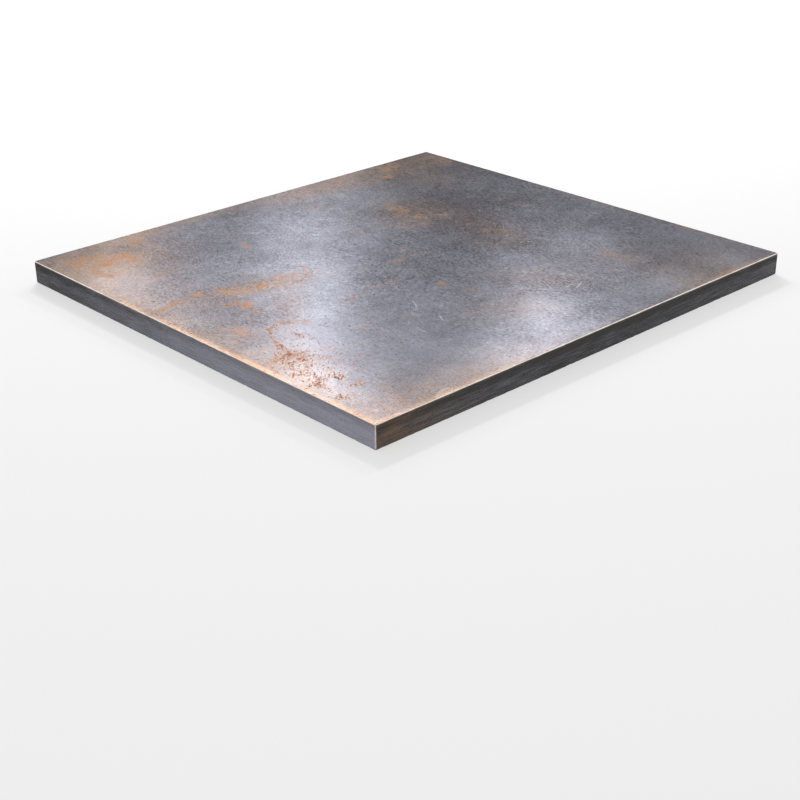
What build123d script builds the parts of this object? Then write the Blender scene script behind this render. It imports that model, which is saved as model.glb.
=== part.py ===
"""Thick steel plate: hot rolled, cut to a rectangle and lying flat.

It is one solid piece of stock. The origin is at the middle of the underside, with +X along the
length, +Y across the width and +Z up through the thickness.
"""

import os

from build123d import *

# Driving dimensions, in millimetres
plate_length = 1080.0
plate_width = 1000.0
plate_thickness = 45.0

# The cut edges are not knife sharp: handling and grinding have eased every arris
corner_radius = 3.0  # the four upright corners
top_arris_radius = 2.0  # where the top face meets the cut edges
bottom_arris_radius = 1.5  # where the underside meets the cut edges

with BuildPart() as steel_plate:
    # Outline as cut from the rolled sheet
    with BuildSketch():
        RectangleRounded(plate_length, plate_width, corner_radius)
    extrude(amount=plate_thickness)

    # Eased arrises, one closed run of edges round each rolled face
    top_arris = steel_plate.faces().sort_by(Axis.Z)[-1].edges()
    fillet(top_arris, top_arris_radius)
    bottom_arris = steel_plate.faces().sort_by(Axis.Z)[0].edges()
    fillet(bottom_arris, bottom_arris_radius)

steel_plate.part.label = "steel_plate"

os.makedirs("parts", exist_ok=True)
export_step(steel_plate.part, "parts/steel_plate.step")
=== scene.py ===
"""Looks of a thick hot rolled steel plate: mill scale, cut edges, worn arrises and rust.

The file is laid out as a Blender add-on and run as a script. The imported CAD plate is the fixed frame,
and the dressed plate takes its place in the same frame, in metres.
"""

import math
from collections import namedtuple

import bpy
import numpy as np
from mathutils import Matrix, Vector


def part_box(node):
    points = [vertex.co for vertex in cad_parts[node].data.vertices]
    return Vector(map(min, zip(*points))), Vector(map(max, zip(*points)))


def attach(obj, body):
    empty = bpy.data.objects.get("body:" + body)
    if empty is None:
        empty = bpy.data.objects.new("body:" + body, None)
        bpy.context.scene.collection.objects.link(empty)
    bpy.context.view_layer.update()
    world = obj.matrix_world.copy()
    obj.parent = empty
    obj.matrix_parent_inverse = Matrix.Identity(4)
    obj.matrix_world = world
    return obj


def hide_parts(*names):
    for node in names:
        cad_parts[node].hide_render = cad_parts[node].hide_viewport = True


bl_info = {
    "name": "Rolled steel plate",
    "version": (1, 0, 0),
    "blender": (4, 5, 0),
    "location": "View3D > Sidebar > Steel Plate",
    "description": "Dresses a thick hot rolled steel plate with scale, worn arrises and rust",
    "category": "Object",
}

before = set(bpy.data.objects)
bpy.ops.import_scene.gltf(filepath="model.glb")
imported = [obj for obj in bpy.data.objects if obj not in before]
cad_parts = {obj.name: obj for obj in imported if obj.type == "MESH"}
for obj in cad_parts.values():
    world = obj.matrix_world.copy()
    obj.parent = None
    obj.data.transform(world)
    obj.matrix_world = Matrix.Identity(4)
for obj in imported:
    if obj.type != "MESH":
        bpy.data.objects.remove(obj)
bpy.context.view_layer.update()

NODE = "steel_plate"
BODY = "root"

PLATE_LOW, PLATE_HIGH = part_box(NODE)
LENGTH, WIDTH, THICKNESS = PLATE_HIGH - PLATE_LOW

MM = 0.001
PER_MM = 1000.0

# What is painted on the plate: soft films of rust, flecks of rust, a warm haze of the finest rust, painted
# shade that darkens the steel and is partly darker scale, pits, fresh rust along the arrises, arrises worn
# bare with a painted highlight on them, and smoother steel. Each is a weight from 0 to 1 on the plate's
# vertices, and the painted shade goes below 0 where it is a painted highlight that makes the steel paler.
PAINTS = ("film", "flecks", "haze", "shade", "pits", "glow", "worn", "smooth")

# A painted patch on the top face: its middle in mm from the near left corner, along the length and across
# the width, its half sizes in mm, its turn in degrees, and how strongly it takes each paint
PLACE = ("along", "across", "half_length", "half_breadth", "turn")
Patch = namedtuple("Patch", PLACE + PAINTS, defaults=(0,) * len(PAINTS))

# Patches of rust, each with its film and its flecks last
RUST_PATCHES = (
    # Far left corner and the left end of the back edge: soft smears
    (95, 905, 75, 50, -20, 0.35, 0.3),
    (73, 932, 10, 16, 30, 0.5, 0.4),
    (90, 886, 36, 8, -25, 0.75, 0.5),
    (141, 892, 14, 30, -10, 0.6, 0.5),
    (52, 868, 12, 22, 20, 0.65, 0.55),
    (61, 824, 12, 26, 20, 0.65, 0.65),
    (202, 951, 14, 22, 30, 0.5, 0.15),
    (258, 986, 12, 14, 30, 0.4, 0.1),
    (210, 968, 40, 24, 20, 0.45, 0.1),
    (143, 760, 26, 8, 0, 0.65, 0.4),
    (355, 770, 10, 16, -15, 0.7, 0.3),
    (366, 815, 8, 30, 0, 0.3, 0.15),
    # Left third, behind the middle
    (158, 531, 16, 22, 0, 0.85, 0.75),
    (156, 533, 9, 13, 0, 0.9, 0.9),
    (128, 546, 14, 8, 0, 0.6, 0.5),
    (152, 486, 7, 11, 0, 0.4, 0.9),
    (191, 604, 6, 8, 0, 0.5, 0.8),
    (170, 606, 8, 16, 0, 0.5, 0.45),
    (225, 582, 80, 26, -12, 0.28, 0.4),
    (300, 580, 40, 26, -20, 0.15, 0.3),
    (73, 432, 16, 26, 0, 0.35, 0.35),
    (121, 469, 5, 8, 0, 0.2, 0.6),
    # Left edge, towards the near corner: dense flecks
    (71, 280, 20, 40, 10, 0.5, 0.95),
    (60, 262, 40, 26, 0, 0.1, 0.45),
    (84, 330, 7, 16, 0, 0.1, 0.75),
    (132, 332, 7, 8, 0, 0.15, 0.85),
    (30, 245, 26, 60, 0, 0.1, 0.5),
    (46, 190, 18, 16, 15, 0.2, 0.85),
    (28, 172, 14, 14, 0, 0.15, 0.75),
    (73, 165, 10, 12, 0, 0.2, 0.8),
    (75, 130, 11, 11, 0, 0.2, 0.8),
    (28, 115, 28, 24, 0, 0.1, 0.55),
    (70, 40, 110, 50, 0, 0.05, 0.42),
    (100, 200, 90, 120, 0, 0, 0.42),
    (237, 260, 6, 6, 0, 0.2, 0.85),
    (262, 310, 6, 6, 0, 0.15, 0.75),
    (275, 303, 6, 6, 0, 0.15, 0.75),
    (327, 280, 6, 6, 0, 0.3, 0.85),
    (130, 420, 170, 280, 0, 0, 0.3),
    # Middle
    (486, 352, 10, 20, 0, 0.5, 0.3),
    (506, 278, 10, 14, 0, 0.55, 0.38),
    (425, 207, 20, 12, 0, 0.25, 0.1),
    (380, 134, 10, 6, 0, 0.25, 0.15),
    (254, 285, 10, 24, 0, 0.2, 0.35),
    (326, 277, 6, 5, 0, 0.5, 0.85),
    (675, 272, 5, 5, 0, 0.3, 0.6),
    # Back and right
    (737, 732, 22, 40, 0, 0.4, 0.3),
    (703, 685, 16, 32, 0, 0.35, 0.3),
    (875, 908, 24, 10, -35, 0.65, 0.25),
    (818, 904, 22, 8, -30, 0.4, 0.1),
    (753, 940, 18, 8, 0, 0.45, 0.15),
    (773, 530, 14, 36, 0, 0.35, 0.35),
    (785, 463, 13, 28, 0, 0.45, 0.38),
    (938, 550, 10, 10, 0, 0.3, 0.1),
    (936, 620, 10, 26, 0, 0.2, 0.05),
    (605, 865, 20, 26, 0, 0.2, 0.05),
    (795, 985, 30, 10, 0, 0.4, 0.1),
    (940, 970, 50, 14, 30, 0.6, 0.1),
    (1058, 920, 20, 45, 0, 0.6, 0.1),
    (1071, 224, 10, 16, 0, 0.5, 0.2),
    (934, 18, 16, 10, 0, 0.6, 0.3),
)

# Patches of a single paint, each with its strength last
TONE_PATCHES = {
    "haze": (
        # Along the edges, in the near and far left corners, and round the smears of rust
        (0, 500, 42, 520, 0, 0.6),
        (0, 190, 90, 150, 0, 0.25),
        (170, 0, 230, 80, 0, 0.6),
        (90, 900, 150, 120, 0, 0.85),
        (300, 1000, 330, 34, 0, 0.6),
        (225, 582, 100, 34, -12, 0.65),
        (70, 265, 50, 70, 0, 0.4),
        (65, 430, 40, 50, 0, 0.35),
        (840, 215, 70, 80, 0, 0.2),
        (740, 450, 60, 70, 0, 0.25),
        (800, 0, 320, 16, 0, 0.35),
        (960, 960, 190, 90, 0, 0.75),
        (700, 960, 160, 45, 0, 0.6),
        (730, 690, 80, 80, 0, 0.6),
        (790, 570, 60, 150, 0, 0.35),
        (60, 700, 110, 260, 0, 0.35),
        (1080, 320, 24, 320, 0, 0.3),
        (920, 70, 130, 90, 0, 0.35),
        (850, 20, 60, 30, 0, 0.4),
        (940, 820, 60, 60, 0, 0.4),
        (210, 970, 60, 40, 0, 0.5),
        (640, 240, 60, 120, 40, 0.25),
        # These two tint the two bands of lamp light warmer: a painted highlight colour, not rust
        (205, 455, 140, 30, 50, 0.3),
        (500, 165, 80, 60, -45, 0.3),
    ),
    "shade": (
        # Darker steel towards the back and the right: partly darker scale, partly painted shade
        (900, 620, 200, 210, 0, 0.55),
        (850, 530, 110, 150, 0, 0.6),
        (720, 450, 80, 90, 0, 0.6),
        (580, 320, 60, 70, 0, 0.25),
        (1000, 350, 70, 80, 0, 0.6),
        (850, 490, 80, 70, 0, 0.5),
        (760, 265, 60, 60, 0, 0.5),
        (1010, 520, 80, 70, 0, 0.45),
        (790, 400, 60, 60, 0, 0.4),
        (642, 377, 40, 40, 0, 0.3),
        (581, 285, 40, 40, 0, 0.4),
        (580, 60, 55, 50, 0, 0.45),
        (940, 230, 80, 120, 0, 0.25),
        (660, 150, 50, 70, 0, 0.4),
        (1000, 830, 150, 170, 0, 0.35),
        (520, 400, 110, 130, 30, 0.3),
        # Painted shade: darker steel by the left edge and at the near corner
        (130, 520, 60, 190, 0, 0.45),
        (40, 440, 60, 80, 0, 0.4),
        (190, 280, 50, 110, 20, 0.3),
        (138, 203, 35, 35, 0, 0.35),
        (64, 392, 30, 40, 0, 0.35),
        (80, 148, 25, 25, 0, 0.3),
        (242, 619, 50, 40, 0, 0.45),
        (345, 671, 50, 50, 0, 0.35),
        (95, 65, 90, 60, 0, 0.5),
        (30, 985, 90, 30, 0, 0.35),
        # Painted highlights: paler steel along the edges and in the two bands where the lamps' light lies
        (85, 780, 60, 60, 0, -0.9),
        (210, 975, 60, 30, 0, -0.5),
        (205, 362, 150, 50, 48, -0.5),
        (490, 110, 90, 45, 42, -0.45),
        (30, 675, 35, 60, 0, -0.6),
        (45, 210, 50, 90, 0, -0.7),
        (180, 35, 130, 45, 0, -0.7),
        (780, 65, 90, 50, 0, -0.6),
        (973, 50, 40, 40, 0, -0.4),
        (889, 296, 40, 50, 0, -0.45),
        (655, 530, 35, 35, 0, -0.5),
        (133, 881, 35, 40, 0, -0.5),
        (126, 331, 35, 40, 0, -0.3),
        (740, 810, 60, 70, 0, -0.9),
    ),
    "glow": (
        # Fresh rust along the left arris and the near half of the front one
        (0, 670, 60, 60, 0, 0.7),
        (0, 480, 60, 100, 0, 0.6),
        (0, 320, 60, 110, 0, 0.9),
        (0, 50, 60, 90, 0, 0.9),
        (110, 0, 190, 60, 0, 0.55),
        (940, 0, 110, 60, 0, 0.6),
    ),
    "worn": (
        # Arrises worn bare, partly a painted highlight: bright along the near edges and dull along the far
        # ones
        (0, 500, 20, 1500, 0, 1.0),
        (540, 0, 1500, 20, 0, 1.0),
        (1080, 500, 20, 1500, 0, 0.3),
        (540, 1000, 1500, 20, 0, 0.3),
    ),
    "smooth": (
        # Steel rubbed smooth at the near corner
        (130, 190, 320, 320, 0, 0.9),
    ),
    "pits": (
        # Pitted steel
        (140, 400, 170, 270, 0, 0.9),
        (842, 200, 35, 70, 0, 1.0),
    ),
}
PATCHES = [Patch(*row) for row in RUST_PATCHES]
for tone, rows in TONE_PATCHES.items():
    PATCHES += [Patch(*row[:-1], **{tone: row[-1]}) for row in rows]

# A trail of rust specks: the points it runs through and its half breadth, in mm as for a patch, and how
# strongly it takes each paint
Trail = namedtuple("Trail", "points half_breadth film flecks pits", defaults=(0,))

RUST_TRAILS = (
    # Left third
    Trail(((33, 612), (62, 622), (95, 616), (123, 624)), 10, 0.5, 0.3),
    Trail(((123, 622), (160, 620), (190, 606)), 9, 0.4, 0.3),
    Trail(((124, 546), (144, 538)), 4, 0.3, 0.55),
    Trail(((276, 541), (304, 547), (327, 558), (350, 579), (360, 604)), 6, 0.12, 0.68, 0.6),
    Trail(((360, 604), (342, 613), (320, 612), (297, 618)), 4, 0.05, 0.65, 0.4),
    Trail(((170, 481), (178, 467), (203, 468), (233, 478), (252, 475)), 6, 0.1, 0.8, 0.9),
    Trail(((118, 406), (143, 411), (160, 405), (179, 397), (193, 376)), 6, 0.05, 0.66, 0.8),
    Trail(((137, 365), (138, 347)), 5, 0.1, 0.8, 0.8),
    Trail(((82, 310), (90, 340), (95, 370), (118, 406)), 5, 0.05, 0.68, 0.7),
    Trail(((244, 658), (258, 644)), 5, 0.2, 0.8, 0.6),
    # Middle
    Trail(((290, 423), (314, 413), (354, 401)), 6, 0.15, 0.78, 0.9),
    Trail(((379, 426), (410, 424), (437, 420)), 6, 0.2, 0.7, 0.5),
    Trail(((436, 518), (480, 512), (505, 498), (549, 496), (611, 486)), 9, 0.3, 0.4),
    Trail(((530, 536), (571, 528)), 8, 0.25, 0.4),
    Trail(((545, 230), (560, 206), (568, 191)), 5, 0.15, 0.6),
    # Back and right
    Trail(((718, 670), (742, 640), (786, 622)), 12, 0.3, 0.22),
    Trail(((656, 640), (680, 622), (706, 624)), 11, 0.3, 0.3),
    Trail(((577, 701), (570, 664)), 5, 0.35, 0.3),
    Trail(((606, 771), (598, 734)), 4, 0.4, 0.3),
    Trail(((840, 245), (834, 215), (840, 193), (838, 174)), 10, 0.25, 0.38),
    Trail(((871, 191), (900, 186)), 7, 0.2, 0.4),
    Trail(((826, 133), (830, 107), (860, 100)), 7, 0.2, 0.4),
    Trail(((704, 156), (708, 123)), 4, 0.1, 0.35),
)

# A stretch of a cut edge: which edge, its middle and half length in mm, and how strongly it takes each
# paint. The front and back edges are measured along the plate as the patches are, the others across it.
Stretch = namedtuple("Stretch", "edge middle half_length film haze shade")

# The shade of a stretch is painted shade: the front edge dark nearly all along, the left edge pale by the
# near corner and darker towards the far one, and the hidden edges in between
EDGE_STRETCHES = (
    Stretch("front", 0, 130, 0.3, 0.9, 0.0),
    Stretch("front", 540, 1500, 0.0, 0.05, 0.95),
    Stretch("left", 1000, 460, 0.0, 0.0, 0.85),
    Stretch("right", 300, 260, 0.3, 0.4, 0.7),
    Stretch("right", 980, 120, 0.4, 0.6, 0.5),
    Stretch("back", 150, 220, 0.4, 0.5, 0.6),
    Stretch("back", 800, 260, 0.2, 0.3, 0.7),
)
# How fast the top face's paints fade down the cut edges, how deep an edge's own paint reaches, up to which
# height a point is on the underside, and how much of the top face's paint the underside shows
EDGE_FADE = 3.0 * MM
EDGE_DEPTH = 1.5 * MM
UNDERSIDE_DEPTH = 0.4 * MM
UNDERSIDE_SHARE = 0.5


def linear(code):
    """An sRGB hex colour as linear red, green, blue and an alpha of 1."""
    parts = [int(code[i : i + 2], 16) / 255 for i in (0, 2, 4)]
    return tuple(c / 12.92 if c <= 0.04045 else ((c + 0.055) / 1.055) ** 2.4 for c in parts) + (1.0,)


def length_property(name, description, default):
    return bpy.props.FloatProperty(
        name=name, description=description, default=default, min=0.0, unit="LENGTH", precision=4
    )


def angle_property(name, description, degrees):
    return bpy.props.FloatProperty(
        name=name, description=description, default=math.radians(degrees), subtype="ANGLE"
    )


def colour_property(name, description, code):
    return bpy.props.FloatVectorProperty(
        name=name, description=description, default=linear(code), size=4, min=0.0, max=1.0, subtype="COLOR"
    )


class PlateShape(bpy.types.PropertyGroup):
    """Sizes of the dressed plate that the CAD box doesn't give"""

    corner_radius: length_property("Corner radius", "Radius of the four upright corners", 3.0 * MM)
    top_arris: length_property("Top arris", "Radius where the top meets the cut edges", 2.0 * MM)
    bottom_arris: length_property("Bottom arris", "Radius where the underside meets the cut edges", 1.5 * MM)
    ripple_height: length_property("Ripple height", "Depth of the hollows left by rolling", 0.4 * MM)
    ripple_size: length_property("Ripple size", "Distance between hollows in the rolled faces", 60.0 * MM)
    groove_depth: length_property("Groove depth", "Depth of the grinding lines on the cut edges", 0.05 * MM)
    groove_width: length_property("Groove width", "Spacing of the grinding lines", 3.0 * MM)
    groove_length: length_property("Groove length", "Length of one grinding line", 80.0 * MM)
    nick_depth: length_property("Nick depth", "Depth of knocks in the arrises", 0.7 * MM)
    nick_size: length_property("Nick size", "Length of a knock in an arris", 12.0 * MM)


class PlateFinish(bpy.types.PropertyGroup):
    """Colours of the scale, the cut edges and the bright arrises, whose near white is partly a painted
    highlight
    """

    # The scale's tone runs between these two colours with its clouds and grain, and also with the painted
    # shade and painted highlights
    scale_dark: colour_property("Dark scale", "Mill scale where it is thick", "383438")
    scale_light: colour_property("Light scale", "Mill scale where it is thin and burnished", "777a83")
    hairline: colour_property("Hairline", "Fine bright scratches in the scale", "8f8f9a")
    # The dark edge colour is also where the painted shade takes the cut edges, and the light one where it is
    # left off
    edge_dark: colour_property("Dark edge", "Hollows of the ground edges", "474645")
    edge_light: colour_property("Light edge", "Ridges of the ground edges", "a4a4b1")
    # Near white steel on the arrises: partly rubbed bright by handling, partly a painted highlight
    bare_steel_and_highlight: colour_property("Bare steel", "Steel worn bright along the arrises", "f7f0e8")


class RustLook(bpy.types.PropertyGroup):
    """Colours and sizes of the rust"""

    haze: colour_property("Rust haze", "Warm haze of the finest rust", "a48a76")
    film: colour_property("Rust film", "Soft film of rust that lets the steel shine through", "705138")
    edge: colour_property("Edge rust", "Dark rust on the cut edges", "463f39")
    streak: colour_property("Streaks", "Thin streaks of rust along the cut edges", "7a5233")
    glow: colour_property("Arris rust", "Fresh rust along the arrises", "c9986c")
    fresh: colour_property("Fresh rust", "Dry orange rust", "d08d59")
    old: colour_property("Old rust", "Old brown rust", "955936")
    pit: colour_property("Pit", "Bottom of a pit", "241c18")
    smallest: length_property("Smallest flake", "Half the breadth of the smallest flake", 0.4 * MM)
    largest: length_property("Largest flake", "Half the breadth of the largest flake", 1.1 * MM)
    clump: length_property("Clump", "Distance between clumps of flakes", 12.0 * MM)
    flatness: bpy.props.FloatProperty(
        name="Flatness", description="Height of a flake over its breadth", default=0.25, min=0.0
    )
    per_square_metre: bpy.props.FloatProperty(
        name="Flakes per square metre",
        description="Flakes of crust on a square metre of full rust",
        default=150000.0,
        min=0.0,
    )
    seed: bpy.props.IntProperty(name="Seed", description="Seed of the scatter", default=7, min=0)


class StageLook(bpy.types.PropertyGroup):
    """Floor, light and camera"""

    floor: colour_property("Floor", "Colour of the plain floor", "f4f4f4")
    lens: bpy.props.FloatProperty(
        name="Lens", description="Focal length on a 36 mm sensor, in mm", default=65.63, min=1.0
    )
    azimuth: angle_property("Azimuth", "Turn of the view from the plate's width", -43.02)
    tilt: angle_property("Tilt", "Angle of the view below the horizon", 25.88)
    roll: angle_property("Roll", "Turn of the picture", -0.555)
    camera_place: bpy.props.FloatVectorProperty(
        name="Camera place",
        description="Where the camera stands",
        default=(-1.8657, -1.9765, 1.0491),
        subtype="TRANSLATION",
    )


def add(tree, kind, inputs=(), out=0, **settings):
    """Adds a node with its settings, sets or links its inputs, by name or in their order, and gives the
    output that is asked for."""
    node = tree.nodes.new(kind)
    for name, value in settings.items():
        setattr(node, name, value)
    for key, value in inputs.items() if isinstance(inputs, dict) else enumerate(inputs):
        if isinstance(key, int):
            socket = node.inputs[key]
        else:
            socket = next(s for s in node.inputs if key in (s.identifier, s.name))
        if isinstance(value, bpy.types.NodeSocket):
            tree.links.new(value, socket)
        else:
            socket.default_value = value
    return next((s for i, s in enumerate(node.outputs) if out in (i, s.identifier, s.name)), None)


# The kinds of node that are used most, and the settings of one that mixes colours
MATH = "ShaderNodeMath"
VECTOR_MATH = "ShaderNodeVectorMath"
MAP_RANGE = "ShaderNodeMapRange"
NOISE = "ShaderNodeTexNoise"
MIX = "ShaderNodeMix"
COLOURS = {"data_type": "RGBA", "out": "Result_Color"}


def new_material(name):
    material = bpy.data.materials.new(name)
    material.use_nodes = True
    material.node_tree.nodes.clear()
    return material, material.node_tree


# Marks drawn out in one direction: length, breadth and height of a mark in mm, and the turn of that
# direction in degrees. Grinding leaves lines and streaks along the cut edges, wiping and handling leave
# fibres on the rolled faces, and flecks of rust lie across those. Real ones are finer than a picture of the
# whole plate can show, so they are drawn coarser.
STROKES = {
    "line": ((45.0, 45.0, 2.0), 0),
    "streak": ((260.0, 260.0, 6.0), 0),
    "fibre": ((18.0, 5.0, 5.0), -72),
    "fleck": ((5.6, 2.6, 3.6), 47),
}
# The fibres swirl: distance between their bends, and how far a bend moves them
SWIRL_MM = 170.0
SWIRL_REACH_MM = (70.0, 70.0, 0.0)

# Noises that the steel is drawn with: the stroke that they follow or plain mm, how many marks there are to
# one stroke or mm, detail, roughness and distortion
NOISES = {
    "cloud": ("mm", 1 / 190, 3.0, 0.5, 0.5),
    "mottle": ("mm", 1 / 34, 5.0, 0.6, 0.3),
    "cluster": ("mm", 1 / 24, 4.0, 0.6, 0.6),
    "pebble": ("mm", 1 / 7, 3.0, 0.6, 0.0),
    "arc": ("mm", 1 / 280, 0.0, 0.5, 0.0),
    "line": ("line", 1.0, 3.0, 0.5, 0.0),
    "streak": ("streak", 1.0, 3.0, 0.5, 0.0),
    "strand": ("fibre", 0.8, 0.0, 0.5, 0.0),
    "grain": ("fibre", 3.0, 2.0, 0.7, 0.0),
    "fibre": ("fibre", 1.0, 4.0, 0.65, 0.5),
    "fleck": ("fleck", 1.0, 3.0, 0.65, 0.4),
}

# How much of each noise is in the speckle and the clouds of the scale, in the tone of the cut edges, in
# smears of rust, in patches of it and in its ragged rims
SPECKLE = {"mottle": 0.45, "fibre": 1.15, "pebble": 0.2, "grain": 2.8}
CLOUDS = {"cloud": 0.7}
EDGE_TONE = {"line": 0.8, "streak": 0.15, "cloud": 0.2, "grain": 0.8}
SMEAR = {"cluster": 0.6, "mottle": 0.5, "fibre": 0.4, "fleck": 0.4}
PATCHY = {"cluster": 0.5, "fibre": 0.5}
RAGGED = {"mottle": 0.5, "fleck": 0.5}
# The value that noises lie about, and the lighter one of a cut edge
MIDDLE = 0.5
EDGE_MIDDLE = 0.85

# Ranges that a value is stretched over: its start and end, and what it gives there if not 0 and 1
RANGES = {
    # How far a face turns up or down, and heights in mm
    "rolled": (0.6, 0.95),
    "handled": (1.5, 5.0, 0.3, 1.0),
    # Heights in mm over which painted shade darkens the top part of a cut edge
    "upper": (24.0, 40.0),
    # Distances from an arris in mm
    "near": (2.0, 22.0, 0.8, 0.0),
    "glow": (1.0, 14.0, 1.0, 0.0),
    # Shares of a pit's radius, and of full smoothness
    "pit": (0.6, 1.0, 1.0, 0.0),
    "smooth": (0.0, 1.0, 1.0, 0.3),
    # Values of a noise
    "hair": (0.5, 0.65, 0.0, 0.45),
    "patchy": (0.38, 0.6, 0.6, 1.2),
    "film": (0.55, 0.67),
    "age": (0.35, 0.65),
    "crust_age": (0.35, 0.62),
    "ragged": (0.4, 0.6, 0.25, 0.8),
    "worn": (0.34, 0.56),
    "rusted": (0.5, 0.75, 0.0, 0.5),
}


def steel_noises(tree, mm):
    """The noises that the steel is drawn with, by name."""
    bend = {"Vector": mm, "Scale": 1 / SWIRL_MM, "Detail": 1.0}
    bend = add(tree, NOISE, bend, out="Color")
    bent = add(tree, VECTOR_MATH, (bend, SWIRL_REACH_MM, mm), operation="MULTIPLY_ADD")
    place = {"mm": mm}
    for name, (size, turn) in STROKES.items():
        along = {"Vector": bent if name == "fibre" else mm, "Scale": size}
        along["Rotation"] = (0.0, 0.0, math.radians(turn))
        place[name] = add(tree, "ShaderNodeMapping", along, vector_type="TEXTURE")
    noise = {}
    for name, (stroke, scale, detail, roughness, distortion) in NOISES.items():
        inputs = {"Vector": place[stroke], "Scale": scale, "Detail": detail, "Roughness": roughness}
        inputs["Distortion"] = distortion
        noise[name] = add(tree, NOISE, inputs)
    return noise


def plate_masks(tree, mm):
    """Where a point lies on the plate, by name: how far from an arris, on a rolled face, on a rounded
    corner or arris, within reach of handling, and in the top part of a cut edge, which takes painted shade."""
    mask = {}
    half = Vector((LENGTH, WIDTH, THICKNESS)) * PER_MM / 2
    centred = add(tree, VECTOR_MATH, (mm, (0.0, 0.0, half.z)), operation="SUBTRACT")
    size = add(tree, VECTOR_MATH, (centred,), operation="ABSOLUTE")
    depth = add(tree, VECTOR_MATH, (half, size), operation="SUBTRACT")
    x, y, z = add(tree, "ShaderNodeSeparateXYZ", (depth,)).node.outputs

    # The distance to the nearest arris is the sum of the two smallest distances to the plate's faces
    total = add(tree, VECTOR_MATH, (depth, (1.0, 1.0, 1.0)), out="Value", operation="DOT_PRODUCT")
    most = add(tree, MATH, (x, y), operation="MAXIMUM")
    most = add(tree, MATH, (most, z), operation="MAXIMUM")
    mask["arris_mm"] = add(tree, MATH, (total, most), operation="SUBTRACT")

    normal = add(tree, "ShaderNodeNewGeometry", out="Normal")
    facing = add(tree, VECTOR_MATH, (normal,), operation="ABSOLUTE")
    x, y, z = add(tree, "ShaderNodeSeparateXYZ", (facing,)).node.outputs
    mask["rolled"] = add(tree, MAP_RANGE, (z, *RANGES["rolled"]))
    mask["corner"] = add(tree, MATH, (x, y), operation="MULTIPLY")
    upright = add(tree, MATH, (x, y), operation="MAXIMUM")
    mask["arris"] = add(tree, MATH, (upright, z), operation="MULTIPLY")

    height = add(tree, "ShaderNodeSeparateXYZ", (mm,), out="Z")
    for name in ("handled", "upper"):
        mask[name] = add(tree, MAP_RANGE, (height, *RANGES[name]))
    return mask


def weighted_sum(tree, start, terms):
    """Adds up values times weights, from a start value."""
    for value, weight in terms:
        start = add(tree, MATH, (value, weight, start), operation="MULTIPLY_ADD")
    return start


def mixed_noise(tree, noise, weights, middle):
    """Noises added up by their weights, so that the sum lies about a middle value."""
    start = middle - sum(weights.values()) / 2
    return weighted_sum(tree, start, [(noise[name], weight) for name, weight in weights.items()])


# Scale is half glossy and a ground edge duller. Iron oxide loses reflection at a flat angle.
SCALE_ROUGHNESS = 0.29
EDGE_ROUGHNESS = 0.45
GRAZING_TINT = (0.5, 0.5, 0.5, 1.0)
# Height of the pebbling, and how much the speckle, the fibres and the pits raise it or sink it
PEBBLE_HEIGHT = 0.08 * MM
SPECKLE_RELIEF = 0.3
FIBRE_RELIEF = 0.6
PIT_RELIEF = -1.5
# Layers over the steel, from the thinnest to the thickest: how each is mixed in, and how metallic and how
# rough it is. The haze only tints the steel, and the others cover it.
LAYERS = {
    "haze": ("COLOR", 0.95, 0.34),
    "film": ("MIX", 0.84, 0.4),
    "pits": ("MIX", 0.0, 0.9),
    "flecks": ("MIX", 0.0, 0.85),
    "glow": ("MIX", 0.6, 0.5),
    "worn": ("MIX", 0.9, 0.5),
}


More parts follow.
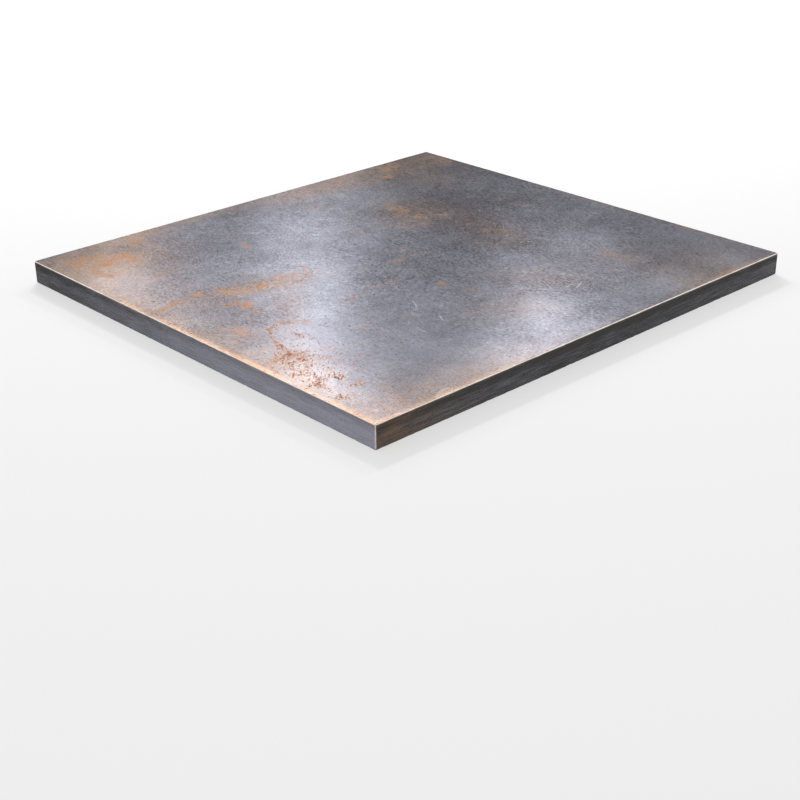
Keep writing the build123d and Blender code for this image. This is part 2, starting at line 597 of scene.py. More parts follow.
def rolled_steel(finish, rust):
    """Hot rolled steel: blue grey mill scale, cloudy, fine grained and half glossy, pitted and filmed with
    rust. The cut edges are ground, so they show fine lines along their length, and the arrises are bright,
    partly from handling and partly with a painted highlight. Painted shade and painted highlights also
    darken and pale the scale and the cut edges."""
    material, tree = new_material("hot_rolled_steel_mill_scale")
    place = add(tree, "ShaderNodeTexCoord", out="Object")
    mm = add(tree, VECTOR_MATH, {0: place, "Scale": PER_MM}, operation="SCALE")
    paint = {name: add(tree, "ShaderNodeAttribute", out="Fac", attribute_name=name) for name in PAINTS}
    noise = steel_noises(tree, mm)
    mask = plate_masks(tree, mm)
    noise["speckle"] = speckle(tree, paint, noise)

    scale, edge = steel_colours(tree, finish, paint, noise, mask)
    colour = {"Factor": mask["rolled"], "A_Color": edge, "B_Color": scale}
    colour = add(tree, MIX, colour, **COLOURS)
    metallic = 1.0
    roughness = add(tree, MAP_RANGE, (mask["rolled"], 0.0, 1.0, EDGE_ROUGHNESS, SCALE_ROUGHNESS))
    layers = rust_layers(tree, rust, paint, noise, mask)
    pits = pit_dots(tree, mm, paint, mask)
    layers["pits"] = (pits, rust.pit)
    # The arrises' layer: partly wear, partly a painted highlight
    layers["worn"] = arris_wear_and_highlight(tree, finish, rust, paint, noise, mask)
    for name, (blend, layer_metallic, layer_roughness) in LAYERS.items():
        factor, layer_colour = layers[name]
        colour = {"Factor": factor, "A_Color": colour, "B_Color": layer_colour}
        colour = add(tree, MIX, colour, blend_type=blend, **COLOURS)
        metallic = {"Factor": factor, "A_Float": metallic, "B_Float": layer_metallic}
        metallic = add(tree, MIX, metallic)
        roughness = {"Factor": factor, "A_Float": roughness, "B_Float": layer_roughness}
        roughness = add(tree, MIX, roughness)

    # The pebbling of the scale, sunk at the pits, and the lines of the cut edges
    reliefs = ((noise["speckle"], SPECKLE_RELIEF), (noise["fibre"], FIBRE_RELIEF), (pits, PIT_RELIEF))
    pebbled = weighted_sum(tree, 0.0, reliefs)
    height = {"Factor": mask["rolled"], "A_Float": noise["line"], "B_Float": pebbled}
    height = add(tree, MIX, height)
    bump = add(tree, "ShaderNodeBump", {"Strength": 1.0, "Distance": PEBBLE_HEIGHT, "Height": height})
    shader = {"Base Color": colour, "Metallic": metallic, "Roughness": roughness, "Normal": bump}
    shader["Specular Tint"] = GRAZING_TINT
    shader = add(tree, "ShaderNodeBsdfPrincipled", shader)
    add(tree, "ShaderNodeOutputMaterial", {"Surface": shader})
    return material


def speckle(tree, paint, noise):
    """Mottling, fibres and fine grain of the scale about 0, fainter where the steel is smooth."""
    grain = mixed_noise(tree, noise, SPECKLE, 0.0)
    left = add(tree, MAP_RANGE, (paint["smooth"], *RANGES["smooth"]))
    return add(tree, MATH, (grain, left), operation="MULTIPLY")


# How much painted shade darkens the scale and the cut edges, and how much painted shade darkens an edge's
# top part
SCALE_SHADE = -0.35
EDGE_SHADE = -0.8
UPPER_SHADE = -0.3
# A hairline is where a noise comes near a level: the level, and how near
HAIRLINES = {"arc": (0.5, 0.0015), "strand": (0.55, 0.006)}


def steel_colours(tree, finish, paint, noise, mask):
    """The colour of the scale, and that of the cut edges."""
    clouds = mixed_noise(tree, noise, CLOUDS, MIDDLE)
    # Painted shade darkens the scale, and below 0 it is a painted highlight that makes it paler
    tone = weighted_sum(tree, clouds, ((noise["speckle"], 1.0), (paint["shade"], SCALE_SHADE)))
    scale = {"Factor": tone, "A_Color": finish.scale_dark, "B_Color": finish.scale_light}
    scale = add(tree, MIX, scale, **COLOURS)

    # Hairlines are long arcs and short strands, broken off where the mottling hides them
    hair = 0.0
    for name, (level, reach) in HAIRLINES.items():
        line = add(tree, MATH, (noise[name], level, reach), operation="COMPARE")
        hair = add(tree, MATH, (hair, line), operation="MAXIMUM")
    shown = add(tree, MAP_RANGE, (noise["mottle"], *RANGES["hair"]))
    hair = add(tree, MATH, (hair, shown), operation="MULTIPLY")
    scale = {"Factor": hair, "A_Color": scale, "B_Color": finish.hairline}
    scale = add(tree, MIX, scale, **COLOURS)

    lines = mixed_noise(tree, noise, EDGE_TONE, EDGE_MIDDLE)
    # Painted shade darkens the cut edges along their stretches and on their top part
    tone = weighted_sum(tree, lines, ((paint["shade"], EDGE_SHADE), (mask["upper"], UPPER_SHADE)))
    edge = {"Factor": tone, "A_Color": finish.edge_dark, "B_Color": finish.edge_light}
    return scale, add(tree, MIX, edge, **COLOURS)


# Distance between pits in mm, the share of that which is the largest pit's radius, the smallest pit's share
# of the largest, and how many of them are open
PIT_SPACING_MM = 13.0
PIT_RADIUS_SHARE = 0.14
SMALLEST_PIT_SHARE = 0.45
OPEN_PITS = 0.42


def pit_dots(tree, mm, paint, mask):
    """Small dark dots, only where the steel is pitted."""
    cells = {"Vector": mm, "Scale": 1 / PIT_SPACING_MM}
    cells = add(tree, "ShaderNodeTexVoronoi", cells, voronoi_dimensions="2D").node.outputs
    drawn = add(tree, "ShaderNodeSeparateXYZ", (cells["Color"],)).node.outputs
    limit = add(tree, MATH, (paint["pits"], OPEN_PITS), operation="MULTIPLY")
    is_open = add(tree, MATH, (drawn["X"], limit), operation="LESS_THAN")
    smallest = SMALLEST_PIT_SHARE * PIT_RADIUS_SHARE
    reach = add(tree, MAP_RANGE, (drawn["Y"], 0.0, 1.0, smallest, PIT_RADIUS_SHARE))
    inside = add(tree, MATH, (cells["Distance"], reach), operation="DIVIDE")
    dot = add(tree, MAP_RANGE, (inside, *RANGES["pit"]))
    for factor in (is_open, mask["rolled"]):
        dot = add(tree, MATH, (dot, factor), operation="MULTIPLY")
    return dot


# How far full paint spreads a film, and the power that thins it where there is less
FILM_SPREAD = 0.25
FILM_POWER = 0.5
# The noise that flecks stand above, how far full paint lowers that level, and how sharp their rims are
FLECK_LEVEL = 0.75
FLECK_SPREAD = 0.34
FLECK_SHARPNESS = 11.0
# How fast the glow fades away from an arris
GLOW_POWER = 1.5


def rust_layers(tree, rust, paint, noise, mask):
    """Factor and colour of each layer of rust over the steel, by name."""
    rolled = mask["rolled"]
    patchy = mixed_noise(tree, noise, PATCHY, MIDDLE)
    patchy = add(tree, MAP_RANGE, (patchy, *RANGES["patchy"]))

    # A warm haze where it is painted
    haze = add(tree, MATH, (paint["haze"], patchy), operation="MULTIPLY", use_clamp=True)
    haze_colour = {"Factor": rolled, "A_Color": rust.edge, "B_Color": rust.haze}
    haze_colour = add(tree, MIX, haze_colour, **COLOURS)

    # Soft films, broken up into smears on the rolled faces and into streaks along the cut edges
    smear = mixed_noise(tree, noise, SMEAR, MIDDLE)
    broken = {"Factor": rolled, "A_Float": noise["line"], "B_Float": smear}
    broken = weighted_sum(tree, add(tree, MIX, broken), ((paint["film"], FILM_SPREAD),))
    broken = add(tree, MAP_RANGE, (broken, *RANGES["film"]))
    thick = add(tree, MATH, (paint["film"], FILM_POWER), operation="POWER")
    film = add(tree, MATH, (thick, broken), operation="MULTIPLY")
    film_colour = {"Factor": rolled, "A_Color": rust.streak, "B_Color": rust.film}
    film_colour = add(tree, MIX, film_colour, **COLOURS)

    # Flecks, which gather where the paint is strong and along the arrises
    clotted = add(tree, MAP_RANGE, (noise["cluster"], *RANGES["patchy"]))
    amount = add(tree, MATH, (paint["flecks"], clotted), operation="MULTIPLY")
    near = add(tree, MAP_RANGE, (mask["arris_mm"], *RANGES["near"]))
    for factor in (patchy, rolled, paint["glow"]):
        near = add(tree, MATH, (near, factor), operation="MULTIPLY")
    amount = add(tree, MATH, (amount, near), operation="MAXIMUM")
    above = weighted_sum(tree, -FLECK_LEVEL, ((noise["fleck"], 1.0), (amount, FLECK_SPREAD)))
    flecks = add(tree, MATH, (above, FLECK_SHARPNESS), operation="MULTIPLY", use_clamp=True)
    age = add(tree, MAP_RANGE, (noise["pebble"], *RANGES["age"]))
    fleck_colour = {"Factor": age, "A_Color": rust.old, "B_Color": rust.fresh}
    fleck_colour = add(tree, MIX, fleck_colour, **COLOURS)

    # A glow of fresh rust on the top face along the arrises
    glow = add(tree, MAP_RANGE, (mask["arris_mm"], *RANGES["glow"]))
    glow = add(tree, MATH, (glow, GLOW_POWER), operation="POWER")
    ragged = mixed_noise(tree, noise, RAGGED, MIDDLE)
    ragged = add(tree, MAP_RANGE, (ragged, *RANGES["ragged"]))
    for factor in (ragged, rolled, paint["glow"]):
        glow = add(tree, MATH, (glow, factor), operation="MULTIPLY")

    return {
        "haze": (haze, haze_colour),
        "film": (film, film_colour),
        "flecks": (flecks, fleck_colour),
        "glow": (glow, rust.glow),
    }


# How much stronger the wear and painted highlight of the arrises are than their paint, how far they reach
# round the upright corners, how much the mottling breaks them up, and how much of the glow they show
WEAR_STRENGTH = 1.8
CORNER_WEAR = 0.72
WEAR_MOTTLE = 0.3
WEAR_GLOW = 0.4


def arris_wear_and_highlight(tree, finish, rust, paint, noise, mask):
    """Factor and colour of the bright steel on the arrises and corners, partly from wear and partly a
    painted highlight, here and there rusted again."""
    bright = add(tree, MATH, (paint["worn"], WEAR_STRENGTH), operation="MULTIPLY", use_clamp=True)
    line = add(tree, MATH, (mask["arris"], bright), operation="MULTIPLY")
    corner = add(tree, MATH, (mask["corner"], CORNER_WEAR), operation="MULTIPLY")
    line = add(tree, MATH, (line, corner), operation="MAXIMUM")
    ragged = weighted_sum(tree, line, ((noise["mottle"], WEAR_MOTTLE),))
    worn = add(tree, MAP_RANGE, (ragged, *RANGES["worn"]))
    worn = add(tree, MATH, (worn, mask["handled"]), operation="MULTIPLY")
    rusted = add(tree, MAP_RANGE, (noise["cluster"], *RANGES["rusted"]))
    glowing = add(tree, MATH, (paint["glow"], WEAR_GLOW), operation="MULTIPLY")
    rusted = add(tree, MATH, (rusted, glowing), operation="MAXIMUM")
    colour = {"Factor": rusted, "A_Color": finish.bare_steel_and_highlight, "B_Color": rust.glow}
    return worn, add(tree, MIX, colour, **COLOURS)


# Size of the fresh and the old patches of the crust
CRUST_PATCH_MM = 14.0


def rust_crust(rust):
    """Rust crust: dry iron oxide grown in flakes, dull and rough, orange where fresh and brown where old."""
    material, tree = new_material("rust_crust_dry")
    place = add(tree, "ShaderNodeTexCoord", out="Object")
    mm = add(tree, VECTOR_MATH, {0: place, "Scale": PER_MM}, operation="SCALE")
    age = {"Vector": mm, "Scale": 1 / CRUST_PATCH_MM, "Detail": 5.0, "Roughness": 0.7}
    age = add(tree, MAP_RANGE, (add(tree, NOISE, age), *RANGES["crust_age"]))
    colour = {"Factor": age, "A_Color": rust.old, "B_Color": rust.fresh}
    colour = add(tree, MIX, colour, **COLOURS)
    shader = add(tree, "ShaderNodeBsdfPrincipled", {"Base Color": colour, "Roughness": 0.88})
    add(tree, "ShaderNodeOutputMaterial", {"Surface": shader})
    return material


WHITE = linear("ffffff")
# How much of the floor's look is plain white rather than lit paint
FLOOR_WHITE_SHARE = 0.55


def seen_rays(tree):
    """1 for a ray that shows the stage, straight or in the metal, and 0 for one that lights the plate."""
    path = add(tree, "ShaderNodeLightPath").node.outputs
    seen = 0.0
    for kind in ("Is Camera Ray", "Is Glossy Ray", "Is Transmission Ray"):
        seen = add(tree, MATH, (seen, path[kind]), operation="MAXIMUM")
    return seen


def plain_floor(colour):
    """Plain floor: matt paint, which looks nearly white and keeps the plate's shadow."""
    material, tree = new_material("floor_matt_paint")
    paint = add(tree, "ShaderNodeBsdfPrincipled", {"Base Color": colour, "Roughness": 0.9})
    white = add(tree, "ShaderNodeEmission", {"Color": WHITE, "Strength": 1.0})
    share = add(tree, MATH, (seen_rays(tree), FLOOR_WHITE_SHARE), operation="MULTIPLY")
    shader = add(tree, "ShaderNodeMixShader", (share, paint, white))
    add(tree, "ShaderNodeOutputMaterial", {"Surface": shader})
    return material


# Cells of the top grid along the length and across the width, and how much coarser the underside is
TOP_CELLS = (270, 250)
UNDERSIDE_STEP = 5
# Steps round an upright corner and over each arris, and rows up a cut edge
CORNER_STEPS = 4
TOP_ARRIS_STEPS = 4
BOTTOM_ARRIS_STEPS = 2
EDGE_ROWS = 12
# How far the support rows lie from an arris, and how far the grids stop short of the cut edges
SUPPORT = 0.8 * MM
GRID_INSET = 5.0 * MM


def plate_profile(shape):
    """Section of the plate's rim from the top face to the underside, as (inset, height) pairs. A support
    row on each side of an arris keeps the faces flat up to it."""
    top = shape.top_arris
    bottom = shape.bottom_arris
    profile = [(top + SUPPORT, THICKNESS)]
    for step in range(TOP_ARRIS_STEPS + 1):
        turn = math.pi / 2 * step / TOP_ARRIS_STEPS
        profile.append((top * (1 - math.sin(turn)), THICKNESS - top * (1 - math.cos(turn))))
    first = THICKNESS - top - SUPPORT
    last = bottom + SUPPORT
    profile += [(0.0, first + (last - first) * row / EDGE_ROWS) for row in range(EDGE_ROWS + 1)]
    for step in range(BOTTOM_ARRIS_STEPS + 1):
        turn = math.pi / 2 * step / BOTTOM_ARRIS_STEPS
        profile.append((bottom * (1 - math.cos(turn)), bottom * (1 - math.sin(turn))))
    profile.append((bottom + SUPPORT, 0.0))
    return profile


def plate_columns(shape):
    """Columns round the rim, counter-clockwise from above: where each stands, which way it faces, and the
    number of the vertex on the top grid's border that it is joined to."""
    radius = shape.corner_radius
    half = Vector((LENGTH / 2, WIDTH / 2))
    places, facings, owners = [], [], []
    border = 0
    for side in range(4):
        cells = TOP_CELLS[side % 2]
        facing = Vector((0.0, -1.0))
        facing.rotate(Matrix.Rotation(math.pi / 2 * side, 2))
        forward = Vector((-facing.y, facing.x))
        reach = abs(forward.x) * half.x + abs(forward.y) * half.y - radius
        away = abs(facing.x) * half.x + abs(facing.y) * half.y
        for step in range(cells + 1):
            places.append(facing * away + forward * reach * (2 * step / cells - 1))
            facings.append(facing)
            owners.append(border + step)
        border += cells
        centre = facing * (away - radius) + forward * reach
        for step in range(1, CORNER_STEPS):
            turned = facing.copy()
            turned.rotate(Matrix.Rotation(math.pi / 2 * step / CORNER_STEPS, 2))
            places.append(centre + turned * radius)
            facings.append(turned)
            owners.append(border)
    return np.array(places), np.array(facings), np.array(owners)


def face_grid(cells, height, start):
    """Vertices of a flat grid, its cells as corner numbers, and its border counter-clockwise from above."""
    count_x, count_y = cells
    reach_x = LENGTH / 2 - GRID_INSET
    reach_y = WIDTH / 2 - GRID_INSET
    xs = np.linspace(-reach_x, reach_x, count_x + 1)
    ys = np.linspace(-reach_y, reach_y, count_y + 1)
    grid_x, grid_y = np.meshgrid(xs, ys)
    points = np.column_stack([grid_x.ravel(), grid_y.ravel(), np.full(grid_x.size, height)])
    number = start + np.arange(grid_x.size).reshape(grid_x.shape)
    corners = [number[:-1, :-1], number[:-1, 1:], number[1:, 1:], number[1:, :-1]]
    quads = np.stack(corners, axis=-1).reshape(-1, 4)
    border = np.concatenate([number[0, :-1], number[:-1, -1], number[-1, :0:-1], number[:0:-1, 0]])
    return points, quads, border


def rim_strip(outer, inner, owners, faces_down):
    """Faces between the rim's last row and a grid's border, which has fewer vertices."""
    faces = []
    for here in range(len(outer)):
        after = (here + 1) % len(outer)
        near = inner[owners[here] % len(inner)]
        far = inner[owners[after] % len(inner)]
        face = [near, outer[here], outer[after], far]
        if near == far:
            face.pop()
        faces.append(face[::-1] if faces_down else face)
    return faces


def plate_mesh(shape):
    """The plate as one closed mesh: a fine grid on top, rows round the rim and a coarser underside."""
    places, facings, owners = plate_columns(shape)
    profile = plate_profile(shape)
    count = len(places)
    rows = [np.column_stack([places - facings * inset, np.full(count, height)]) for inset, height in profile]
    rim = np.arange(len(profile) * count).reshape(len(profile), count)
    top, top_quads, top_border = face_grid(TOP_CELLS, THICKNESS, rim.size)
    under_cells = [cells // UNDERSIDE_STEP for cells in TOP_CELLS]
    under, under_quads, under_border = face_grid(under_cells, 0.0, rim.size + len(top))

    after = np.roll(rim, -1, axis=1)
    rim_quads = np.stack([rim[:-1], rim[1:], after[1:], after[:-1]], axis=-1).reshape(-1, 4)
    faces = rim_quads.tolist() + top_quads.tolist() + under_quads[:, ::-1].tolist()
    faces += rim_strip(rim[0].tolist(), top_border.tolist(), owners.tolist(), False)
    under_owners = np.round(owners / UNDERSIDE_STEP).astype(int).tolist()
    faces += rim_strip(rim[-1].tolist(), under_border.tolist(), under_owners, True)

    mesh = bpy.data.meshes.new("rolled_plate")
    mesh.from_pydata(np.concatenate(rows + [top, under]).tolist(), [], faces)
    mesh.shade_smooth()
    return mesh


def paint_weights(points):
    """How strongly each point of the plate takes each paint: from 0 to 1, or below 0 where it is paler."""
    along = (points[:, 0] + LENGTH / 2) * PER_MM
    across = (points[:, 1] + WIDTH / 2) * PER_MM
    height = points[:, 2]
    on_top = np.exp(-np.maximum(THICKNESS - height, 0) / EDGE_FADE)
    shown = np.where(height < UNDERSIDE_DEPTH, UNDERSIDE_SHARE, on_top)

    # Each spot with its strength at every point
    spots = []
    for patch in PATCHES:
        turn = math.radians(patch.turn)
        east = along - patch.along
        north = across - patch.across
        u = (east * math.cos(turn) + north * math.sin(turn)) / patch.half_length
        v = (north * math.cos(turn) - east * math.sin(turn)) / patch.half_breadth
        spots.append((patch, np.exp(-(u**2) - v**2) * shown))
    for trail in RUST_TRAILS:
        nearest = np.full(len(points), np.inf)
        for start, end in zip(trail.points, trail.points[1:]):
            run = np.subtract(end, start)
            share = ((along - start[0]) * run[0] + (across - start[1]) * run[1]) / run.dot(run)
            share = np.clip(share, 0, 1)
            reach = np.hypot(along - start[0] - share * run[0], across - start[1] - share * run[1])
            nearest = np.minimum(nearest, reach)
        spots.append((trail, np.exp(-((nearest / trail.half_breadth) ** 2)) * shown))
    sides = {
        "front": (across, along),
        "back": (WIDTH * PER_MM - across, along),
        "left": (along, across),
        "right": (LENGTH * PER_MM - along, across),
    }
    for stretch in EDGE_STRETCHES:
        inside, run = sides[stretch.edge]
        where = (inside < EDGE_DEPTH * PER_MM) * (1 - shown)
        spots.append((stretch, np.exp(-(((run - stretch.middle) / stretch.half_length) ** 2)) * where))

    weights = {}
    for paint in PAINTS:
        clean = np.ones(len(points))
        for spot, strength in spots:
            clean *= 1 - getattr(spot, paint, 0) * strength
        weights[paint] = 1 - clean
    # Flakes on the lower half of the edges would stand out past the plate's foot
    weights["flecks"][height < THICKNESS / 2] = 0
    return weights


def by_name(settings):
    """The values of a group of settings by the names that the panel shows, which the trees' inputs share."""
    return {settings.bl_rna.properties[key].name: getattr(settings, key) for key in settings.__annotations__}


def new_tree(name, inputs):
    """An empty Geometry Nodes tree with named inputs, each given with its kind, and a material."""
    tree = bpy.data.node_groups.new(name, "GeometryNodeTree")
    for label, kind in {"Geometry": "Geometry", **inputs, "Material": "Material"}.items():
        tree.interface.new_socket(label, in_out="INPUT", socket_type="NodeSocket" + kind)
    tree.interface.new_socket("Geometry", in_out="OUTPUT", socket_type="NodeSocketGeometry")
    return tree, add(tree, "NodeGroupInput").node.outputs


def run_tree(piece, tree, values):
    """Runs a Geometry Nodes tree on a piece and leaves the result as its plain mesh."""
    modifier = piece.modifiers.new(tree.name, "NODES")
    modifier.node_group = tree
    for item in tree.interface.items_tree:
        if item.in_out == "INPUT" and item.name in values:
            modifier[item.identifier] = values[item.name]
    depsgraph = bpy.context.evaluated_depsgraph_get()
    made = bpy.data.meshes.new_from_object(
        piece.evaluated_get(depsgraph), preserve_all_data_layers=True, depsgraph=depsgraph
    )
    piece.modifiers.remove(modifier)
    made.name = piece.name
    piece.data = made


# Sizes of the relief, as the panel names them
RELIEF_SIZES = (
    "Ripple height",
    "Ripple size",
    "Groove depth",
    "Groove width",
    "Groove length",
    "Nick depth",
    "Nick size",
)
# Range of a noise over which a knock deepens, and what it gives there
NICK_RANGE = (0.52, 0.75, 0.0, 4.0)


def relief_tree():
    """Relief of the plate, always inwards: hollows in the rolled faces, lines along the cut edges and
    knocks in the arrises."""
    tree, given = new_tree("Plate relief", dict.fromkeys(RELIEF_SIZES, "Float"))
    place = add(tree, "GeometryNodeInputPosition")
    normal = add(tree, "GeometryNodeInputNormal")
    normal_z = add(tree, "ShaderNodeSeparateXYZ", (normal,), out="Z")
    flat = add(tree, MATH, (normal_z, normal_z), operation="MULTIPLY")
    side = add(tree, MATH, (1.0, flat), operation="SUBTRACT")
    arris = add(tree, MATH, (flat, side), operation="MULTIPLY")

    per = {}
    for name in ("Ripple size", "Groove width", "Groove length", "Nick size"):
        per[name] = add(tree, MATH, (1.0, given[name]), operation="DIVIDE")
    ripple = add(tree, NOISE, {"Vector": place, "Scale": per["Ripple size"], "Detail": 2.0})
    stretch = (per["Groove length"], per["Groove length"], per["Groove width"])
    stretch = add(tree, "ShaderNodeCombineXYZ", stretch)
    along = add(tree, VECTOR_MATH, (place, stretch), operation="MULTIPLY")
    groove = add(tree, NOISE, {"Vector": along, "Scale": 1.0, "Detail": 2.0})
    nick = add(tree, NOISE, {"Vector": place, "Scale": per["Nick size"], "Detail": 1.0})
    nick = add(tree, MAP_RANGE, (nick, *NICK_RANGE))

    # Each relief is a noise times its depth, where the surface faces its way
    reliefs = (
        (ripple, given["Ripple height"], flat),
        (groove, given["Groove depth"], side),
        (nick, given["Nick depth"], arris),
    )
    sunk = 0.0
    for noise, depth, where in reliefs:
        deep = add(tree, MATH, (noise, depth), operation="MULTIPLY")
        sunk = add(tree, MATH, (deep, where, sunk), operation="MULTIPLY_ADD")
    inwards = add(tree, MATH, (sunk, -1.0), operation="MULTIPLY")
    offset = add(tree, VECTOR_MATH, {0: normal, "Scale": inwards}, operation="SCALE")
    moved = add(tree, "GeometryNodeSetPosition", {"Geometry": given["Geometry"], "Offset": offset})
    real = add(tree, "GeometryNodeRealizeInstances", (moved,))
    dressed = add(tree, "GeometryNodeSetMaterial", {"Geometry": real, "Material": given["Material"]})
    add(tree, "NodeGroupOutput", {"Geometry": dressed})
    return tree


# Sizes of the crust's flakes, as the panel names them
CRUST_SIZES = ("Flakes per square metre", "Clump", "Smallest flake", "Largest flake", "Flatness")
# The range of a noise over which flakes clump, the powers that thin them out where there is less rust and
# make few of them large, how much longer than broad one may be, and how many bends of a ragged rim fit in
# the smallest half breadth
CLUMP_RANGE = (0.4, 0.65)
DENSITY_POWER = 1.5
SIZE_POWER = 3.0
LONGEST_RATIO = 2.2
RIM_BENDS = 0.7
RATIO_SEED = 3
TURN_SEED = 5
# The settings of a node that draws a random number
DRAW = {"data_type": "FLOAT", "out": "Value_001"}


def crust_tree():
    """Rust crust: irregular flakes scattered over the plate where its flecks are painted."""
    inputs = dict.fromkeys(CRUST_SIZES, "Float") | {"Seed": "Int", "Lowest": "Vector", "Highest": "Vector"}
    tree, given = new_tree("Rust crust", inputs)
    place = add(tree, "GeometryNodeInputPosition")
    weight = add(tree, "GeometryNodeInputNamedAttribute", {"Name": "flecks"}, data_type="FLOAT")
    clump_scale = add(tree, MATH, (1.0, given["Clump"]), operation="DIVIDE")
    clump = add(tree, NOISE, {"Vector": place, "Scale": clump_scale, "Detail": 2.0})
    clump = add(tree, MAP_RANGE, (clump, *CLUMP_RANGE))
    density = add(tree, MATH, (weight, DENSITY_POWER), operation="POWER")
    for factor in (clump, given["Flakes per square metre"]):
        density = add(tree, MATH, (density, factor), operation="MULTIPLY")
    scatter = {"Mesh": given["Geometry"], "Density": density, "Seed": given["Seed"]}
    scatter = add(tree, "GeometryNodeDistributePointsOnFaces", scatter).node.outputs

    # Many small flakes and few large ones, each up to about twice as long as broad
    draw = add(tree, "FunctionNodeRandomValue", {"Seed": given["Seed"]}, **DRAW)
    draw = add(tree, MATH, (draw, SIZE_POWER), operation="POWER")
    size = add(tree, MAP_RANGE, (draw, 0.0, 1.0, given["Smallest flake"], given["Largest flake"]))
    ratio = {"Min_001": 1.0, "Max_001": LONGEST_RATIO, "Seed": RATIO_SEED}
    ratio = add(tree, "FunctionNodeRandomValue", ratio, **DRAW)
    long = add(tree, MATH, (size, ratio), operation="MULTIPLY")
    tall = add(tree, MATH, (size, given["Flatness"]), operation="MULTIPLY")
    scale = add(tree, "ShaderNodeCombineXYZ", (long, size, tall))
    turn = {"Max_001": 2 * math.pi, "Seed": TURN_SEED}
    turn = add(tree, "FunctionNodeRandomValue", turn, **DRAW)
    spin = add(tree, "ShaderNodeCombineXYZ", {"Z": turn})
    spin = add(tree, "FunctionNodeEulerToRotation", (spin,))
    turned = (scatter["Rotation"], spin)
    turned = add(tree, "FunctionNodeRotateRotation", turned, rotation_space="LOCAL")
    flake = add(tree, "GeometryNodeMeshIcoSphere", {"Radius": 1.0, "Subdivisions": 1})
    flakes = {"Points": scatter["Points"], "Instance": flake, "Rotation": turned, "Scale": scale}
    flakes = add(tree, "GeometryNodeInstanceOnPoints", flakes)
    real = add(tree, "GeometryNodeRealizeInstances", (flakes,))

    # Ragged rims, none of which stands out past the plate's box
    rim_scale = add(tree, MATH, (RIM_BENDS, given["Smallest flake"]), operation="DIVIDE")
    rim = add(tree, NOISE, {"Vector": place, "Scale": rim_scale}, out="Color")
    rim = add(tree, VECTOR_MATH, (rim, (MIDDLE, MIDDLE, MIDDLE)), operation="SUBTRACT")
    reach = add(tree, VECTOR_MATH, {0: rim, "Scale": given["Smallest flake"]}, operation="SCALE")
    moved = add(tree, VECTOR_MATH, (place, reach), operation="ADD")
    moved = add(tree, VECTOR_MATH, (moved, given["Lowest"]), operation="MAXIMUM")
    moved = add(tree, VECTOR_MATH, (moved, given["Highest"]), operation="MINIMUM")
    shaped = add(tree, "GeometryNodeSetPosition", {"Geometry": real, "Position": moved})
    dressed = add(tree, "GeometryNodeSetMaterial", {"Geometry": shaped, "Material": given["Material"]})
    add(tree, "NodeGroupOutput", {"Geometry": dressed})
    return tree


def new_piece(name, mesh):
    piece = bpy.data.objects.new(name, mesh)
    bpy.context.scene.collection.objects.link(piece)
    return piece


class STEELPLATE_OT_plate(bpy.types.Operator):
    """Make the rolled plate with its relief and finish"""

    bl_idname = "steel_plate.make_plate"
    bl_label = "Make Plate"

    def execute(self, context):
        shape = context.scene.steel_plate_shape
        mesh = plate_mesh(shape)
        points = np.empty(len(mesh.vertices) * 3, np.float32)
        mesh.vertices.foreach_get("co", points)
        for name, weight in paint_weights(points.reshape(-1, 3)).items():
            attribute = mesh.attributes.new(name, "FLOAT", "POINT")
            attribute.data.foreach_set("value", weight.astype(np.float32))
        piece = new_piece("rolled_plate", mesh)
        steel = rolled_steel(context.scene.steel_plate_finish, context.scene.steel_plate_rust)
        run_tree(piece, relief_tree(), by_name(shape) | {"Material": steel})
        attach(piece, BODY)
        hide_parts(NODE)
        return {"FINISHED"}


class STEELPLATE_OT_crust(bpy.types.Operator):
    """Grow flakes of rust crust on the plate"""

    bl_idname = "steel_plate.make_crust"
    bl_label = "Make Rust Crust"

    def execute(self, context):
        rust = context.scene.steel_plate_rust
        plate = bpy.data.objects["rolled_plate"]
        piece = new_piece("rust_crust", plate.data.copy())
        values = {"Lowest": PLATE_LOW, "Highest": PLATE_HIGH, "Material": rust_crust(rust)}
        run_tree(piece, crust_tree(), by_name(rust) | values)
        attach(piece, BODY)
        return {"FINISHED"}


# A lamp: where it stands, its breadth and height in m, and its power in W
Lamp = namedtuple("Lamp", "name place breadth height power")

# The lamps stand behind the plate and lie on it as two pale bands, with a softer light on either side.
# The near edges face away from them.
LAMPS = (
    Lamp("band_lamp_left", (1.93, 2.67, 1.94), 0.28, 1.6, 12.5),
    Lamp("high_lamp_left", (1.86, 2.72, 2.83), 0.30, 0.22, 46.0),
    Lamp("edge_lamp_left", (1.26, 3.15, 2.38), 0.12, 1.44, 31.0),
    Lamp("band_lamp_right", (2.69, 1.93, 2.19), 0.12, 0.2, 22.0),
    Lamp("broad_lamp_right", (3.23, 1.20, 1.89), 0.78, 0.2, 6.0),
)
FLOOR_REACH = 30.0
SKY_STRENGTH = 0.55
SENSOR_MM = 36.0


def add_lamp(lamp):
    """Adds one rectangular lamp, pointed at the middle of the top face."""
    light = bpy.data.lights.new(lamp.name, "AREA")
    light.shape = "RECTANGLE"
    light.size = lamp.breadth
    light.size_y = lamp.height
    light.energy = lamp.power
    thing = bpy.data.objects.new(lamp.name, light)
    bpy.context.scene.collection.objects.link(thing)
    way = Vector((0.0, 0.0, THICKNESS)) - Vector(lamp.place)
    turn = way.to_track_quat("-Z", "Y").to_matrix().to_4x4()
    thing.matrix_world = Matrix.Translation(lamp.place) @ turn


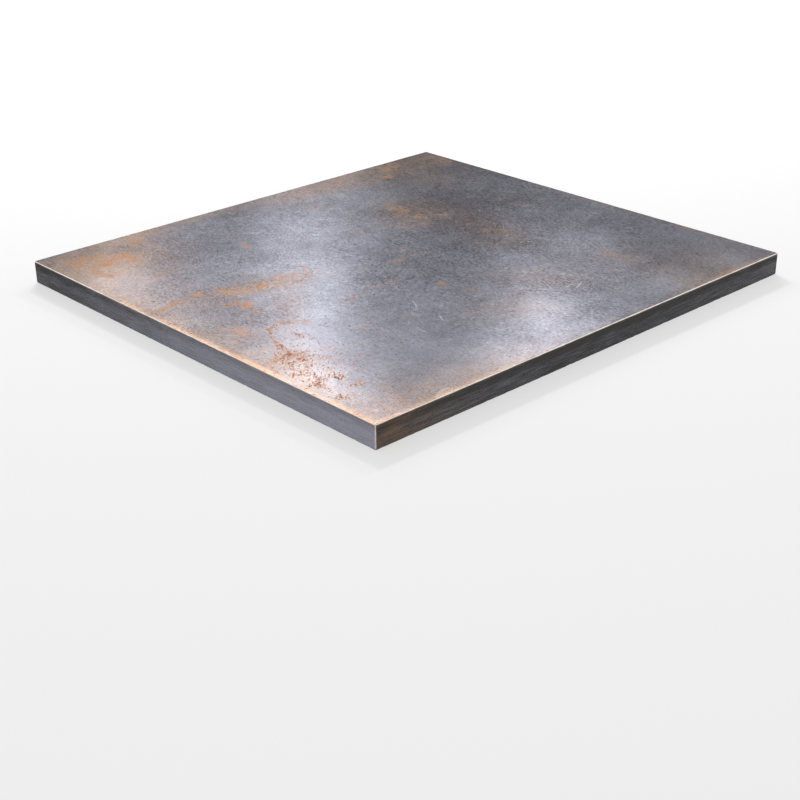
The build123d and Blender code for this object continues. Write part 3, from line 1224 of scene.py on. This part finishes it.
def add_sky(scene):
    """A sky that is white where it is seen and softer where it lights the plate."""
    world = bpy.data.worlds.new("studio")
    scene.world = world
    world.use_nodes = True
    tree = world.node_tree
    tree.nodes.clear()
    strength = add(tree, MAP_RANGE, (seen_rays(tree), 0.0, 1.0, SKY_STRENGTH, 1.0))
    sky = add(tree, "ShaderNodeBackground", {"Color": WHITE, "Strength": strength})
    add(tree, "ShaderNodeOutputWorld", {"Surface": sky})


class STEELPLATE_OT_stage(bpy.types.Operator):
    """Set the floor, the lamps, the sky and the camera"""

    bl_idname = "steel_plate.make_stage"
    bl_label = "Make Stage"

    def execute(self, context):
        scene = context.scene
        look = scene.steel_plate_stage

        corners = [(-1, -1, 0), (1, -1, 0), (1, 1, 0), (-1, 1, 0)]
        mesh = bpy.data.meshes.new("floor")
        mesh.from_pydata([Vector(corner) * FLOOR_REACH for corner in corners], [], [(0, 1, 2, 3)])
        mesh.materials.append(plain_floor(look.floor))
        new_piece("floor", mesh)

        camera = bpy.data.objects.new("camera", bpy.data.cameras.new("camera"))
        scene.collection.objects.link(camera)
        camera.data.sensor_width = SENSOR_MM
        camera.data.lens = look.lens
        turn = Matrix.Rotation(look.azimuth, 4, "Z")
        tip = Matrix.Rotation(math.pi / 2 - look.tilt, 4, "X")
        spin = Matrix.Rotation(look.roll, 4, "Z")
        camera.matrix_world = Matrix.Translation(look.camera_place) @ turn @ tip @ spin
        scene.camera = camera

        for lamp in LAMPS:
            add_lamp(lamp)
        add_sky(scene)
        scene.view_settings.view_transform = "Standard"
        return {"FINISHED"}


class STEELPLATE_PT_panel(bpy.types.Panel):
    """Lists the plate's settings and the steps that make it"""

    bl_idname = "STEELPLATE_PT_panel"
    bl_label = "Steel Plate"
    bl_space_type = "VIEW_3D"
    bl_region_type = "UI"
    bl_category = "Steel Plate"

    def draw(self, context):
        for name, (group, step) in GROUPS.items():
            box = self.layout.box()
            for key in group.__annotations__:
                box.prop(getattr(context.scene, name), key)
            if step:
                box.operator(step.bl_idname)


# The groups of settings, each with the step that it leads to, and all classes in the order they register in
GROUPS = {
    "steel_plate_shape": (PlateShape, None),
    "steel_plate_finish": (PlateFinish, STEELPLATE_OT_plate),
    "steel_plate_rust": (RustLook, STEELPLATE_OT_crust),
    "steel_plate_stage": (StageLook, STEELPLATE_OT_stage),
}
CLASSES = [group for group, step in GROUPS.values()]
CLASSES += [step for group, step in GROUPS.values() if step]
CLASSES.append(STEELPLATE_PT_panel)


def register():
    for kind in CLASSES:
        bpy.utils.register_class(kind)
    for name, (group, step) in GROUPS.items():
        setattr(bpy.types.Scene, name, bpy.props.PointerProperty(type=group))


def unregister():
    for name in GROUPS:
        delattr(bpy.types.Scene, name)
    for kind in reversed(CLASSES):
        bpy.utils.unregister_class(kind)


def main():
    register()
    bpy.ops.steel_plate.make_plate()
    bpy.ops.steel_plate.make_crust()
    bpy.ops.steel_plate.make_stage()


if __name__ == "__main__":
    main()
